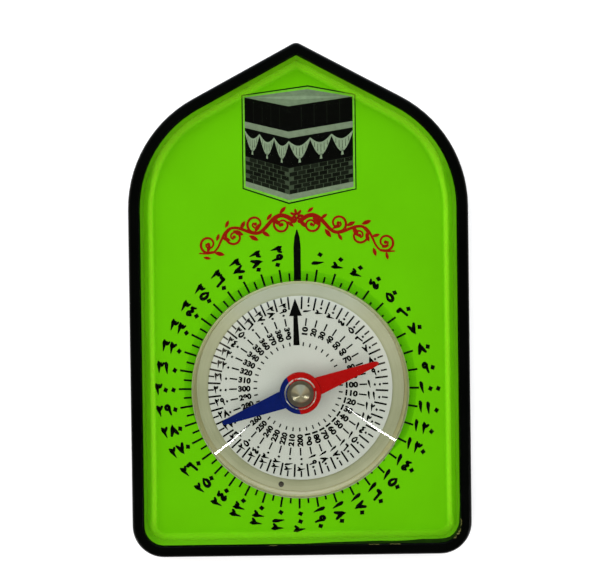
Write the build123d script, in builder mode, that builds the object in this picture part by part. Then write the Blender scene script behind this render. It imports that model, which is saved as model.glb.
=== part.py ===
from build123d import *
import os
from math import cos, radians, sqrt, tan

# Pocket qibla compass. A black arched tray holds a printed card under a clear window, and a
# domed compass capsule stands on the card, in a round opening of the window.
# The face looks up along +Z and the arch points along +Y. Sizes are in millimetres, and the
# origin is at the middle of the underside.

# Plate outline: straight sides under a pointed arch
plate_width = 75.0
plate_length = 113.0
roof_slope = 28.2
apex_radius = 2.0
shoulder_radius = 27.5
corner_radius = 7.1
least_radius = 0.3

# Tray
rim_width = 2.6
rim_lip = 0.45
rim_edge_radius = 1.0
rim_inner_radius = 0.25
floor_thickness = 1.6
foot_edge_radius = 0.6

# Card, glue line and window
card_thickness = 0.4
card_clearance = 0.2
glue_thickness = 0.15
glue_width = 2.2
window_thickness = 3.0
window_clearance = 0.15
bevel_width = 0.4
bevel_drop = 0.4
opening_clearance = 0.25

# Capsule: base, tape and domed lens
capsule_diameter = 47.6
capsule_margin = 13.0
tape_thickness = 0.3
tape_setback = 1.3
tape_width = 12.0
flange_thickness = 0.6
seat_rise = 0.4
skirt_rise = 2.9
dome_rise = 7.7
lens_wall = 0.7
lens_edge_radius = 0.5
bond_clearance = 0.05
press_clearance = 0.02

# Vent plug in the base, beside the dial
plug_diameter = 1.2
plug_head = 0.15
plug_bearing = 192.0
plug_setback = 1.2

# Dial
dial_margin = 2.7
dial_thickness = 0.3
dial_hole_clearance = 0.1

# Pivot pin and its boss
pin_diameter = 1.0
pin_bury = 0.6
pin_point_length = 2.0
boss_wall = 0.9
boss_rise = 1.1
pivot_clearance = 0.05

# Needle, with a raised hub and a collar round the cap
needle_bearing = 69.5
needle_length = 35.4
needle_headroom = 0.3
blade_thickness = 0.4
blade_width = 3.7
blade_tip_width = 1.2
blade_point = 1.3
hub_diameter = 8.8
hub_rise = 0.4
hub_edge_radius = 0.25
collar_wall = 0.5
collar_rise = 0.5
collar_edge_radius = 0.15

# Jewel cap and jewel
cap_flange_diameter = 5.7
cap_flange_thickness = 0.3
cap_cone_diameter = 4.0
cap_cone_rise = 1.6
cap_barrel_diameter = 3.8
cap_barrel_drop = 0.6
cap_wall = 0.3
jewel_diameter = 1.8
jewel_inset = 0.5
jewel_roof = 0.3
jewel_recess_wall = 0.2

# Heights, from the underside up
card_top = floor_thickness + card_thickness
window_bottom = card_top + glue_thickness
window_top = window_bottom + window_thickness
tray_height = window_top + rim_lip
base_bottom = card_top + tape_thickness
flange_top = base_bottom + flange_thickness
seat_top = flange_top + seat_rise
dial_top = seat_top + dial_thickness
boss_top = dial_top + boss_rise
skirt_top = flange_top + skirt_rise
dome_top = skirt_top + dome_rise

# Plan sizes that follow from those above
sharp_tip = plate_length / 2 + apex_radius * (1 / cos(radians(roof_slope)) - 1)
window_inset = rim_width + window_clearance
capsule_radius = capsule_diameter / 2
bore_radius = capsule_radius - lens_wall
seat_radius = bore_radius - bond_clearance
tape_radius = capsule_radius - tape_setback
dial_radius = bore_radius - dial_margin
pin_radius = pin_diameter / 2
boss_radius = pin_radius + boss_wall
plug_radius = plug_diameter / 2
needle_reach = needle_length / 2
hub_radius = hub_diameter / 2
collar_bore_radius = cap_flange_diameter / 2 + press_clearance
barrel_radius = cap_barrel_diameter / 2
jewel_radius = jewel_diameter / 2

# The capsule's axis, and the plane of its turned sections
capsule_y = capsule_margin + capsule_radius - plate_length / 2
capsule_axis = Axis((0, capsule_y, 0), (0, 0, 1))
section_plane = Plane.XZ.offset(-capsule_y)

# The dome is part of a sphere, and the lens has the same wall all over
dome_radius = (capsule_radius**2 + dome_rise**2) / (2 * dome_rise)
dome_inner_radius = dome_radius - lens_wall
dome_centre = dome_top - dome_radius


def dome_height(sphere_radius, reach):
    return dome_centre + sqrt(sphere_radius**2 - reach**2)


# The needle swings just under the dome, and its jewel hangs it on the pin
blade_top = dome_height(dome_inner_radius, needle_reach) - needle_headroom
blade_bottom = blade_top - blade_thickness
hub_top = blade_top + hub_rise
cap_flange_top = hub_top + cap_flange_thickness
cap_top = cap_flange_top + cap_cone_rise
barrel_bottom = blade_bottom - cap_barrel_drop
cone_steepness = cap_cone_rise / (cap_cone_diameter / 2)
pocket_top = cap_top - (jewel_radius + press_clearance + cap_wall) * cone_steepness
jewel_bottom = barrel_bottom + jewel_inset
recess_top = pocket_top - jewel_roof
pin_tip = recess_top - pivot_clearance
needle_plane = Plane(
    origin=(0, capsule_y, blade_bottom),
    x_dir=Vector(1, 0, 0).rotate(Axis.Z, 90 - needle_bearing),
    z_dir=(0, 0, 1),
)


def arch_outline(inset):
    half_width = plate_width / 2 - inset
    foot = inset - plate_length / 2
    tip = sharp_tip - inset / cos(radians(roof_slope))
    eaves = tip - half_width * tan(radians(roof_slope))
    with BuildSketch() as outline:
        with BuildLine():
            Polyline(
                (-half_width, foot),
                (half_width, foot),
                (half_width, eaves),
                (0, tip),
                (-half_width, eaves),
                close=True,
            )
        make_face()
        fillet(outline.vertices().group_by(Axis.Y)[1], shoulder_radius - inset)
        fillet(outline.vertices().group_by(Axis.Y)[0], max(corner_radius - inset, least_radius))
        fillet(outline.vertices().group_by(Axis.Y)[-1], max(apex_radius - inset, least_radius))
    return outline.sketch


# Tray: a floor and a rim in one moulding, with rounded edges
with BuildPart() as back_tray:
    with BuildSketch():
        add(arch_outline(0))
    extrude(amount=tray_height)
    with BuildSketch(Plane.XY.offset(floor_thickness)):
        add(arch_outline(rim_width))
    extrude(amount=tray_height - floor_thickness, mode=Mode.SUBTRACT)
    rim_top = back_tray.faces().sort_by(Axis.Z)[-1]
    rim_outer_edges = rim_top.outer_wire().edges()
    fillet(rim_outer_edges, rim_edge_radius)
    rim_top = back_tray.faces().filter_by(Axis.Z).sort_by(Axis.Z)[-1]
    rim_inner_edges = rim_top.inner_wires()[0].edges()
    fillet(rim_inner_edges, rim_inner_radius)
    underside = back_tray.faces().sort_by(Axis.Z)[0]
    fillet(underside.edges(), foot_edge_radius)

# Printed card, lying on the tray's floor
with BuildPart() as printed_card:
    with BuildSketch(Plane.XY.offset(floor_thickness)):
        add(arch_outline(rim_width + card_clearance))
    extrude(amount=card_thickness)

# Glue line between the card and the window, all the way round
with BuildPart() as window_adhesive:
    with BuildSketch(Plane.XY.offset(card_top)):
        add(arch_outline(window_inset))
        add(arch_outline(window_inset + glue_width), mode=Mode.SUBTRACT)
    extrude(amount=glue_thickness)

# Clear window with a small bevel, and a round opening for the capsule
with BuildPart() as clear_window:
    with BuildSketch(Plane.XY.offset(window_bottom)):
        add(arch_outline(window_inset))
    extrude(amount=window_thickness - bevel_drop)
    with BuildSketch(Plane.XY.offset(window_top - bevel_drop)):
        add(arch_outline(window_inset))
    with BuildSketch(Plane.XY.offset(window_top)):
        add(arch_outline(window_inset + bevel_width))
    loft(ruled=True)
    with Locations((0, capsule_y, window_top)):
        Hole(capsule_radius + opening_clearance)

# Tape ring that holds the capsule on the card
with BuildPart() as capsule_tape:
    with BuildSketch(Plane.XY.offset(card_top)):
        with Locations((0, capsule_y)):
            Circle(tape_radius)
            Circle(tape_radius - tape_width, mode=Mode.SUBTRACT)
    extrude(amount=tape_thickness)

# Capsule base: a flange for the lens, a raised seat for the dial and a boss for the pin
with BuildPart() as capsule_base:
    with BuildSketch(section_plane):
        with BuildLine():
            Polyline(
                (0, base_bottom),
                (capsule_radius, base_bottom),
                (capsule_radius, flange_top),
                (seat_radius, flange_top),
                (seat_radius, seat_top),
                (boss_radius, seat_top),
                (boss_radius, boss_top),
                (0, boss_top),
                close=True,
            )
        make_face()
    revolve(axis=capsule_axis)
    with Locations((0, capsule_y, boss_top)):
        Hole(pin_radius + press_clearance, depth=boss_top - base_bottom - pin_bury)
    with Locations((0, capsule_y, seat_top)):
        with PolarLocations(bore_radius - plug_setback, 1, start_angle=90 - plug_bearing):
            Hole(plug_radius + press_clearance)

# Vent plug, standing a little proud of the seat
with BuildPart() as vent_plug:
    with BuildSketch(Plane.XY.offset(base_bottom)):
        with Locations((0, capsule_y)):
            with PolarLocations(bore_radius - plug_setback, 1, start_angle=90 - plug_bearing):
                Circle(plug_radius)
    extrude(amount=seat_top + plug_head - base_bottom)

# Dial, a printed disc with a hole for the boss
with BuildPart() as dial_disc:
    with BuildSketch(Plane.XY.offset(seat_top)):
        with Locations((0, capsule_y)):
            Circle(dial_radius)
            Circle(boss_radius + dial_hole_clearance, mode=Mode.SUBTRACT)
    extrude(amount=dial_thickness)

# Pivot pin, pressed into the boss, with a long point
with BuildPart() as pivot_pin:
    with BuildSketch(section_plane):
        with BuildLine():
            Polyline(
                (0, base_bottom + pin_bury),
                (pin_radius, base_bottom + pin_bury),
                (pin_radius, pin_tip - pin_point_length),
                (0, pin_tip),
                close=True,
            )
        make_face()
    revolve(axis=capsule_axis)

# Clear lens: a short upright skirt and a spherical dome
with BuildPart() as capsule_lens:
    with BuildSketch(section_plane) as lens_section:
        with BuildLine():
            Polyline(
                (bore_radius, dome_height(dome_inner_radius, bore_radius)),
                (bore_radius, flange_top),
                (capsule_radius, flange_top),
                (capsule_radius, skirt_top),
            )
            ThreePointArc(
                (capsule_radius, skirt_top),
                (capsule_radius / 2, dome_height(dome_radius, capsule_radius / 2)),
                (0, dome_top),
            )
            Line((0, dome_top), (0, dome_top - lens_wall))
            ThreePointArc(
                (0, dome_top - lens_wall),
                (bore_radius / 2, dome_height(dome_inner_radius, bore_radius / 2)),
                (bore_radius, dome_height(dome_inner_radius, bore_radius)),
            )
        make_face()
        skirt_corner = lens_section.vertices().sort_by(Axis.X).group_by(Axis.X)[-1].sort_by(Axis.Z)[-1]
        fillet(skirt_corner, lens_edge_radius)
    revolve(axis=capsule_axis)

# Needle: two tapered arms, a raised hub and a collar, pressed from one sheet
with BuildPart() as needle_blade:
    with BuildSketch(needle_plane):
        with BuildLine():
            Polyline(
                (-needle_reach, 0),
                (blade_point - needle_reach, blade_tip_width / 2),
                (-hub_radius, blade_width / 2),
                (hub_radius, blade_width / 2),
                (needle_reach - blade_point, blade_tip_width / 2),
                (needle_reach, 0),
            )
            mirror(about=Plane.XZ)
        make_face()
    extrude(amount=blade_thickness)
    with BuildSketch(needle_plane):
        Circle(hub_radius)
    extrude(amount=hub_top - blade_bottom)
    hub_edge = needle_blade.faces().sort_by(Axis.Z)[-1].outer_wire().edges()
    fillet(hub_edge, hub_edge_radius)
    with BuildSketch(needle_plane.offset(hub_top - blade_bottom)):
        Circle(collar_bore_radius + collar_wall)
        Circle(collar_bore_radius, mode=Mode.SUBTRACT)
    extrude(amount=collar_rise)
    fillet(needle_blade.faces().sort_by(Axis.Z)[-1].edges(), collar_edge_radius)
    with Locations((0, capsule_y, hub_top)):
        Hole(barrel_radius + press_clearance)

# Cap: a barrel through the hub, a flange inside the collar and a cone on top
with BuildPart() as jewel_cap:
    with BuildSketch(section_plane):
        with BuildLine():
            Polyline(
                (jewel_radius + press_clearance, barrel_bottom),
                (barrel_radius, barrel_bottom),
                (barrel_radius, hub_top),
                (cap_flange_diameter / 2, hub_top),
                (cap_flange_diameter / 2, cap_flange_top),
                (cap_cone_diameter / 2, cap_flange_top),
                (0, cap_top),
                (0, pocket_top),
                (jewel_radius + press_clearance, pocket_top),
                close=True,
            )
        make_face()
    revolve(axis=capsule_axis)

# Jewel in the cap's pocket, with a conical recess for the pin's point
with BuildPart() as pivot_jewel:
    with BuildSketch(section_plane):
        with BuildLine():
            Polyline(
                (jewel_radius - jewel_recess_wall, jewel_bottom),
                (jewel_radius, jewel_bottom),
                (jewel_radius, pocket_top),
                (0, pocket_top),
                (0, recess_top),
                close=True,
            )
        make_face()
    revolve(axis=capsule_axis)

pieces = {
    "back_tray": back_tray,
    "printed_card": printed_card,
    "window_adhesive": window_adhesive,
    "clear_window": clear_window,
    "capsule_tape": capsule_tape,
    "capsule_base": capsule_base,
    "vent_plug": vent_plug,
    "dial_disc": dial_disc,
    "pivot_pin": pivot_pin,
    "capsule_lens": capsule_lens,
    "needle_blade": needle_blade,
    "jewel_cap": jewel_cap,
    "pivot_jewel": pivot_jewel,
}

os.makedirs("parts", exist_ok=True)
for name, piece in pieces.items():
    piece.part.label = name
    export_step(piece.part, f"parts/{name}.step")
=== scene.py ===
import bmesh
import bpy
from math import asin, cos, pi, radians, sin, tan
from mathutils import Matrix, Vector
from random import Random


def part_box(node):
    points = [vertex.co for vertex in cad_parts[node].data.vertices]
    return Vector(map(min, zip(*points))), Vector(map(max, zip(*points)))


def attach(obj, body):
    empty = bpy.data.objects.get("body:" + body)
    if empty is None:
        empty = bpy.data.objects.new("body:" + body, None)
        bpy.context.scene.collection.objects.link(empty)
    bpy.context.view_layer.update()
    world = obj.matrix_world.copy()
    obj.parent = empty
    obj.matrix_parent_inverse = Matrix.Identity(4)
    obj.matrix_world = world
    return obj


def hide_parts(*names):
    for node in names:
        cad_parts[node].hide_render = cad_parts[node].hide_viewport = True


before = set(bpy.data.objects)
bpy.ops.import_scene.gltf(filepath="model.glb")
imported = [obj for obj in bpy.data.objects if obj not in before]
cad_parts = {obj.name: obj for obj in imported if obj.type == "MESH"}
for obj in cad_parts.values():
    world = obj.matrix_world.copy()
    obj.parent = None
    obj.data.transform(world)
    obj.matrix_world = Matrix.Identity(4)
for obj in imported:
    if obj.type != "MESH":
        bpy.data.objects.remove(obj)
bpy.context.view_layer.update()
scene = bpy.context.scene
scene.view_settings.view_transform = "Standard"
mm = 0.001  # sizes below are in millimetres, and a mesh becomes metres when its piece is finished
tiny = 1e-6  # a length that counts as nothing


def boxMm(node):
    low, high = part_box(node)
    return low / mm, high / mm


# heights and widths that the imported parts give
trayLow, trayHigh = boxMm("back_tray")
windowLow, windowHigh = boxMm("clear_window")
lensLow, lensHigh = boxMm("capsule_lens")
baseLow, baseHigh = boxMm("capsule_base")
dialLow, dialHigh = boxMm("dial_disc")
plugLow, plugHigh = boxMm("vent_plug")
bladeLow, bladeHigh = boxMm("needle_blade")
capLow, capHigh = boxMm("jewel_cap")
plateWidth = trayHigh.x - trayLow.x
plateLength = trayHigh.y - trayLow.y
cardTop = boxMm("printed_card")[1].z
dialTop = dialHigh.z
windowInset = windowLow.x - trayLow.x
capsule = Vector((lensLow.x + lensHigh.x, lensLow.y + lensHigh.y)) / 2
capsuleRadius = (lensHigh.x - lensLow.x) / 2
dialRadius = (dialHigh.x - dialLow.x) / 2
print("frame loaded, plate", round(plateWidth, 2), "by", round(plateLength, 2), "mm")


# small helpers
def linear(hexText):
    parts = [int(hexText[i:i + 2], 16) / 255 for i in (1, 3, 5)]
    return [c / 12.92 if c <= 0.04045 else ((c + 0.055) / 1.055) ** 2.4 for c in parts] + [1.0]


def perMm(size):
    return 1 / (size * mm)  # texture scale for a pattern of this size


def addNode(tree, kind, settings=None, inputs=None):
    # settings are the node's own fields, or only the name of its operation
    node = tree.nodes.new(kind)
    if isinstance(settings, str):
        settings = {"operation": settings}
    for key, value in (settings or {}).items():
        setattr(node, key, value)
    for key, value in (inputs or {}).items():
        named = [s for s in node.inputs if s.enabled and s.name == key]
        socket = node.inputs[key] if isinstance(key, int) else named[0]
        if isinstance(value, bpy.types.Node):
            value = [s for s in value.outputs if s.enabled][0]
        if isinstance(value, bpy.types.NodeSocket):
            tree.links.new(value, socket)
        else:
            socket.default_value = value
    return node


def newMaterial(name):
    # an empty material, its tree, and the place on the object that its patterns follow
    material = bpy.data.materials.new(name)
    material.use_nodes = True
    tree = material.node_tree
    tree.nodes.clear()
    return material, tree, addNode(tree, "ShaderNodeTexCoord").outputs["Object"]


def roundCorners(points, radii, steps=6, hold=0.03):
    # corners with a radius become arcs, and a point just past each arc keeps the flats flat
    done = []
    for i, point in enumerate(points):
        corner = Vector(point)
        if not radii[i]:
            done.append(corner)
            continue
        back = (Vector(points[i - 1]) - corner).normalized()
        ahead = (Vector(points[(i + 1) % len(points)]) - corner).normalized()
        half = back.angle(ahead) / 2
        reach = radii[i] / tan(half)
        centre = corner + (back + ahead).normalized() * radii[i] / sin(half)
        first = corner + back * reach - centre
        turn = (pi - 2 * half) * (1 if back.cross(ahead) < 0 else -1)
        done.append(corner + back * (reach + hold))
        done += [centre + Matrix.Rotation(turn * k / steps, 2) @ first for k in range(steps + 1)]
        done.append(corner + ahead * (reach + hold))
    return done


def loft(bm, rings, joinEnds=False, capEnds=False):
    rows = [[bm.verts.new(point) for point in ring] for ring in rings]
    following = rows[1:] + rows[:1] if joinEnds else rows[1:]
    for low, high in zip(rows, following):
        for i in range(len(low)):
            j = (i + 1) % len(low)
            bm.faces.new((low[i], low[j], high[j], high[i]))
    if capEnds:
        bm.faces.new(rows[0])
        bm.faces.new(rows[-1])
    return rows


def lathe(bm, profile, centre, steps=128, joinEnds=False):
    # turns (radius, height) points about an upright axis, with a pole where the radius is nothing
    rows = []
    for radius, height in profile:
        count = steps if radius > tiny else 1
        row = []
        for i in range(count):
            turn = 2 * pi * i / steps
            row.append(bm.verts.new((centre.x + radius * cos(turn), centre.y + radius * sin(turn), height)))
        rows.append(row)
    following = rows[1:] + rows[:1] if joinEnds else rows[1:]
    for low, high in zip(rows, following):
        for i in range(steps):
            j = (i + 1) % steps
            corners = [low[i % len(low)], low[j % len(low)], high[j % len(high)], high[i % len(high)]]
            corners = list(dict.fromkeys(corners))
            if len(corners) > 2:
                bm.faces.new(corners)


def finishMesh(name, bm, sharpAngle):
    bmesh.ops.recalc_face_normals(bm, faces=bm.faces[:])
    for face in bm.faces:
        face.smooth = True
    for edge in bm.edges:
        edge.smooth = edge.calc_face_angle(pi) < radians(sharpAngle)
    bmesh.ops.scale(bm, vec=(mm, mm, mm), verts=bm.verts[:])
    mesh = bpy.data.meshes.new(name)
    bm.to_mesh(mesh)
    bm.free()
    return mesh


def placePiece(name, made, material, body, replaced=(), sharpAngle=34):
    # made is a mesh, or a bmesh that is still to be finished
    mesh = made if isinstance(made, bpy.types.Mesh) else finishMesh(name, made, sharpAngle)
    mesh.materials.clear()
    mesh.materials.append(material)
    piece = bpy.data.objects.new(name, mesh)
    scene.collection.objects.link(piece)
    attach(piece, body)
    if replaced:
        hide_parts(*replaced)


def evaluatedMesh(holder):
    shown = holder.evaluated_get(bpy.context.evaluated_depsgraph_get())
    return bpy.data.meshes.new_from_object(shown)


def growMesh(tree, values):
    # runs a node tree on an empty mesh and returns what it grew, still in millimetres
    holder = bpy.data.objects.new("growing", bpy.data.meshes.new("growing"))
    scene.collection.objects.link(holder)
    modifier = holder.modifiers.new("grow", "NODES")
    modifier.node_group = tree
    for item in tree.interface.items_tree:
        if item.name in values:
            modifier[item.identifier] = values[item.name]
    mesh = evaluatedMesh(holder)
    holder.modifiers.remove(modifier)
    bpy.data.objects.remove(holder)
    return mesh


def aimed(place, target, up):
    # turns -Z of a camera or lamp to the target, with its Y towards up
    back = (Vector(place) - Vector(target)).normalized()
    right = Vector(up).cross(back).normalized()
    return Matrix((right, back.cross(right), back)).transposed()


def newTree(name, inputs):
    tree = bpy.data.node_groups.new(name, "GeometryNodeTree")
    tree.interface.new_socket("Mesh", in_out="OUTPUT", socket_type="NodeSocketGeometry")
    for title, kind in inputs.items():
        tree.interface.new_socket(title, in_out="INPUT", socket_type="NodeSocket" + kind)
    return tree, addNode(tree, "NodeGroupInput").outputs


# camera, as the photo was taken: nearly straight down, the plate turned a little anticlockwise
view = {"place": (0.2, 3.2, 100.0), "target": (0.2, 2.8, 5.0), "roll": -0.75, "lens": 25.9, "sensor": 36.0,
        "nearClip": 10.0}
camera = bpy.data.objects.new("camera", bpy.data.cameras.new("camera"))
camera.data.lens = view["lens"]
camera.data.sensor_width = view["sensor"]
camera.data.clip_start = view["nearClip"] * mm
camera.location = Vector(view["place"]) * mm
aim = aimed(view["place"], view["target"], (0, 1, 0))  # the top of the picture is the pointed end
camera.rotation_euler = (aim @ Matrix.Rotation(radians(view["roll"]), 3, "Z")).to_euler()
scene.collection.objects.link(camera)
scene.camera = camera
print("camera set")


# shared steps of the materials
def patches(tree, place, size, detail, dark, light):
    # soft patches of a real size, and two tones blended by them
    noise = addNode(tree, "ShaderNodeTexNoise", None,
                    {"Vector": place, "Scale": perMm(size), "Detail": detail})
    tone = addNode(tree, "ShaderNodeMix", {"data_type": "RGBA"},
                   {"Factor": noise, "A": linear(dark), "B": linear(light)})
    return noise, tone


def grainBump(tree, place, size, detail, strength):
    # fine grain of a real size, hardly raised
    grain = addNode(tree, "ShaderNodeTexNoise", None,
                    {"Vector": place, "Scale": perMm(size), "Detail": detail})
    return addNode(tree, "ShaderNodeBump", None,
                   {"Height": grain, "Strength": strength, "Distance": 0.02 * mm})


def fromAxis(tree, place):
    # the place as seen from the capsule's axis, and its distance from that axis
    moved = addNode(tree, "ShaderNodeVectorMath", "SUBTRACT",
                    {0: place, 1: (capsule.x * mm, capsule.y * mm, 0)})
    flat = addNode(tree, "ShaderNodeVectorMath", "MULTIPLY", {0: moved, 1: (1, 1, 0)})
    return moved, addNode(tree, "ShaderNodeVectorMath", "LENGTH", {0: flat}).outputs["Value"]


def turnedRings(tree, place, size, detail):
    # uneven rings about the axis, as a turning tool leaves them
    outward = addNode(tree, "ShaderNodeCombineXYZ", None, {"X": fromAxis(tree, place)[1]})
    return addNode(tree, "ShaderNodeTexNoise", None,
                   {"Vector": outward, "Scale": perMm(size), "Detail": detail})


def surface(tree, inputs):
    shader = addNode(tree, "ShaderNodeBsdfPrincipled", None, inputs)
    addNode(tree, "ShaderNodeOutputMaterial", None, {"Surface": shader})


# materials
def mouldedBlackAbs():
    # injection moulded ABS, black: deep, with a fine even grain and soft highlights on round edges
    material, tree, place = newMaterial("mouldedBlackAbs")
    scuff, tone = patches(tree, place, 9, 5.0, "#010201", "#040504")
    rough = addNode(tree, "ShaderNodeMapRange", None, {"Value": scuff, "To Min": 0.26, "To Max": 0.46})
    bump = grainBump(tree, place, 0.22, 3.0, 0.12)
    surface(tree, {"Base Color": tone, "Roughness": rough, "Normal": bump, "Specular IOR Level": 0.12})
    return material


def limeInkOnCard():
    # offset printed card: flat lime ink with faint clouds, and paper fibre under it
    material, tree, place = newMaterial("limeInkOnCard")
    tone = patches(tree, place, 14, 4.0, "#64bc01", "#6ccc04")[1]
    bump = grainBump(tree, place, 0.3, 3.0, 0.1)
    surface(tree, {"Base Color": tone, "Roughness": 0.75, "Normal": bump, "Specular IOR Level": 0.05})
    return material


def screenInk(name, light, dark):
    # screen print ink, matt, a little uneven where the mesh let less through
    material, tree, place = newMaterial(name)
    tone = patches(tree, place, 1.2, 4.0, dark, light)[1]
    surface(tree, {"Base Color": tone, "Roughness": 0.75, "Specular IOR Level": 0.05})
    return material


# a side is frosted where its normal rises less than this, and turns to its lighter roof tone, a painted
# highlight, along this stretch
frosted = {"rise": (0.62, 0.76), "roof": (28.0, 40.0)}


def clearPlastic(name, ior, tint, haze, frost, mirroredTone, roofLitTone):
    # polished clear plastic: bends what is behind it, and rubbing softens its shine here and there
    material, tree, place = newMaterial(name)
    rub = addNode(tree, "ShaderNodeTexNoise", None, {"Vector": place, "Scale": perMm(3), "Detail": 6.0})
    rough = addNode(tree, "ShaderNodeMapRange", None, {"Value": rub, "To Min": haze * 0.4, "To Max": haze})
    glass = addNode(tree, "ShaderNodeBsdfPrincipled", None,
                    {"Base Color": linear(tint), "Roughness": rough, "IOR": ior, "Transmission Weight": 1.0})
    # sides steeper than a dome are frosted, as the saw or the mould leaves them,
    # and are painted with the colour of what they would mirror, a painted reflection; near the roof that
    # colour is lighter, a painted highlight
    normal = addNode(tree, "ShaderNodeNewGeometry").outputs["Normal"]
    level = addNode(tree, "ShaderNodeSeparateXYZ", None, {0: normal}).outputs["Z"]
    level = addNode(tree, "ShaderNodeMath", "ABSOLUTE", {0: level})
    start, end = frosted["rise"]
    upright = addNode(tree, "ShaderNodeMapRange", None,
                      {"Value": level, "From Min": start, "From Max": end, "To Min": frost, "To Max": 0.0})
    along = addNode(tree, "ShaderNodeSeparateXYZ", None, {0: place}).outputs["Y"]
    start, end = frosted["roof"]
    roofLitShare = addNode(tree, "ShaderNodeMapRange", None,
                      {"Value": along, "From Min": start * mm, "From Max": end * mm})
    paintedMirrorTone = addNode(tree, "ShaderNodeMix", {"data_type": "RGBA"},
                        {"Factor": roofLitShare, "A": linear(mirroredTone), "B": linear(roofLitTone)})
    paintedMirror = addNode(tree, "ShaderNodeBsdfPrincipled", None,
                    {"Base Color": paintedMirrorTone, "Roughness": 0.6, "Specular IOR Level": 0.2})
    plastic = addNode(tree, "ShaderNodeMixShader", None, {0: upright, 1: glass, 2: paintedMirror})
    # lamps and bounced light pass straight through, so that what is behind is lit
    film = addNode(tree, "ShaderNodeBsdfTransparent", None, {"Color": linear(tint)})
    path = addNode(tree, "ShaderNodeLightPath").outputs
    passing = addNode(tree, "ShaderNodeMath", "MAXIMUM",
                      {0: path["Is Shadow Ray"], 1: path["Is Diffuse Ray"]})
    either = addNode(tree, "ShaderNodeMixShader", None, {0: passing, 1: plastic, 2: film})
    addNode(tree, "ShaderNodeOutputMaterial", None, {"Surface": either})
    return material


def clearCement(name, thin, paintedGlowShade, glowStrength):
    # a clear film: its thin tint darkens the card beneath as painted shade, and its milky yellow-green share
    # is painted light, a band of light gathered by the window's edge
    material, tree, place = newMaterial(name)
    share = addNode(tree, "ShaderNodeAttribute", {"attribute_name": "paintedGlowShade"}).outputs["Color"]
    share = addNode(tree, "ShaderNodeSeparateColor", None, {0: share}).outputs
    patch = addNode(tree, "ShaderNodeTexNoise", None, {"Vector": place, "Scale": perMm(2.5), "Detail": 5.0})
    uneven = addNode(tree, "ShaderNodeMapRange", None, {"Value": patch, "To Min": 0.8, "To Max": 1.2})
    shadeShare = addNode(tree, "ShaderNodeMath", "MULTIPLY", {0: share["Green"], 1: uneven})
    tone = addNode(tree, "ShaderNodeMix", {"data_type": "RGBA"},
                   {"Factor": shadeShare, "A": linear("#fefffd"), "B": linear(thin)})
    film = addNode(tree, "ShaderNodeBsdfTransparent", None, {"Color": tone})
    paintedGlow = addNode(tree, "ShaderNodeBsdfPrincipled", None,
                   {"Base Color": linear(paintedGlowShade), "Roughness": 0.4, "Specular IOR Level": 0.1})
    glowShare = addNode(tree, "ShaderNodeMath", "MULTIPLY", {0: share["Red"], 1: glowStrength})
    # the painted light lets lamps pass, so the card under it keeps its own light
    lit = addNode(tree, "ShaderNodeLightPath").outputs["Is Shadow Ray"]
    seen = addNode(tree, "ShaderNodeMath", "SUBTRACT", {0: 1.0, 1: lit})
    glowShare = addNode(tree, "ShaderNodeMath", "MULTIPLY", {0: glowShare, 1: seen})
    either = addNode(tree, "ShaderNodeMixShader", None, {0: glowShare, 1: film, 2: paintedGlow})
    addNode(tree, "ShaderNodeOutputMaterial", None, {"Surface": either})
    return material


def ivoryStyrene():
    # moulded styrene, ivory gone a little green: satin, with faint rings left by the turned mould
    material, tree, place = newMaterial("ivoryStyrene")
    rings = turnedRings(tree, place, 0.7, 3.0)
    cloud = addNode(tree, "ShaderNodeTexNoise", None, {"Vector": place, "Scale": perMm(7), "Detail": 4.0})
    mark = addNode(tree, "ShaderNodeMath", "MULTIPLY_ADD", {0: cloud, 1: 0.6, 2: rings})
    share = addNode(tree, "ShaderNodeMapRange", None, {"Value": mark, "From Min": 0.5, "From Max": 1.1})
    tone = addNode(tree, "ShaderNodeMix", {"data_type": "RGBA"},
                   {"Factor": share, "A": linear("#8d906c"), "B": linear("#a8aa8a")})
    bump = addNode(tree, "ShaderNodeBump", None, {"Height": rings, "Strength": 0.3, "Distance": 0.05 * mm})
    surface(tree, {"Base Color": tone, "Roughness": 0.38, "Normal": bump, "IOR": 1.59})
    return material


def coatedDialCard():
    # coated card for the dial: pale grey white, matt, with a faint tooth
    material, tree, place = newMaterial("coatedDialCard")
    tone = patches(tree, place, 5, 4.0, "#c2c5bb", "#cbcdc5")[1]
    bump = grainBump(tree, place, 0.25, 2.0, 0.08)
    surface(tree, {"Base Color": tone, "Roughness": 0.6, "Normal": bump, "IOR": 1.5})
    return material


def plainFinish(name, light, dark, patchSize, roughness, metallic=0.0):
    # small or hidden pieces: two close tones in patches of a real size
    material, tree, place = newMaterial(name)
    patch, tone = patches(tree, place, patchSize, 3.0, dark, light)
    rough = addNode(tree, "ShaderNodeMapRange", None,
                    {"Value": patch, "To Min": roughness * 0.8, "To Max": roughness * 1.2})
    surface(tree, {"Base Color": tone, "Roughness": rough, "Metallic": metallic})
    return material


# enamel: how far in from the collar's edge and down from its top it is worn, and how ragged the colours meet
enamelWear = {"inward": (0.3, 0.24), "down": (0.36, 0.32), "gaps": (0.42, 0.5), "ragged": 0.12}


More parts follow.
